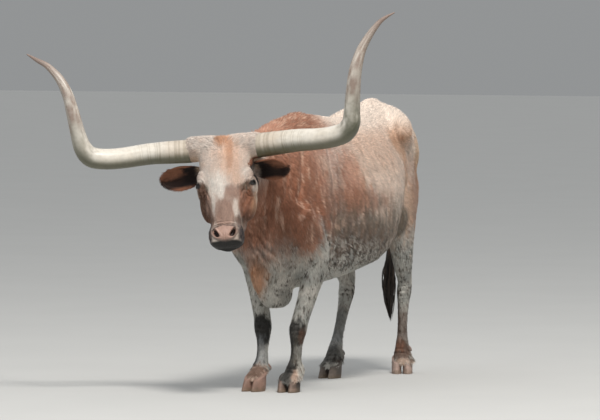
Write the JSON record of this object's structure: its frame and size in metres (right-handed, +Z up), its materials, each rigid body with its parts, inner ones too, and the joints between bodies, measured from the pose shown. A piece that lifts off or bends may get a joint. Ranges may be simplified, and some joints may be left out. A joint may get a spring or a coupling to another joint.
{
  "type": "texas longhorn ox figure",
  "caption": "Life-size still model of a lean, long-horned ox standing in mid step with its head turned, for display as a farm animal.",
  "frame": {"origin": "on the floor under the middle of the bounding box, at the level of the soles", "axes": "+Z up, -Y ahead along the body towards the head, +X to the animal's left"},
  "size_m": [1.7444, 2.3202, 1.8338],
  "materials": {
    "coat_roan": "short matte hair, red-brown roan with pale flecks",
    "coat_cream": "short matte hair, cream with brown streaks",
    "coat_speckled": "short matte hair, grey-white with dark specks",
    "ear_hair": "short dark red-brown hair",
    "switch_hair": "long black-brown hair in locks",
    "horn": "ivory horn with growth rings, satin",
    "hoof": "dull grey-pink horn of the claws",
    "eye": "wet dark eye"
  },
  "bodies": {
    "root": {"claw_front_left_left": "hoof", "claw_front_left_right": "hoof", "claw_front_right_left": "hoof", "claw_front_right_right": "hoof", "claw_hind_left_left": "hoof", "claw_hind_left_right": "hoof", "claw_hind_right_left": "hoof", "claw_hind_right_right": "hoof", "dewclaw_front_left_left": "hoof", "dewclaw_front_left_right": "hoof", "dewclaw_front_right_left": "hoof", "dewclaw_front_right_right": "hoof", "dewclaw_hind_left_left": "hoof", "dewclaw_hind_left_right": "hoof", "dewclaw_hind_right_left": "hoof", "dewclaw_hind_right_right": "hoof", "ear_left": "ear_hair", "ear_right": "ear_hair", "eye_left": "eye", "eye_right": "eye", "head": "coat_cream", "horn_left_base": "horn", "horn_left_tip": "horn", "horn_right_base": "horn", "horn_right_tip": "horn", "leg_front_left_lower": "coat_speckled", "leg_front_left_upper": "coat_speckled", "leg_front_right_lower": "coat_speckled", "leg_front_right_upper": "coat_speckled", "leg_hind_left_lower": "coat_speckled", "leg_hind_left_upper": "coat_speckled", "leg_hind_right_lower": "coat_speckled", "leg_hind_right_upper": "coat_speckled", "neck": "coat_roan", "tail_lower": "coat_cream", "tail_switch": "switch_hair", "tail_upper": "coat_cream", "torso": "coat_roan"}
  },
  "joints": []
}
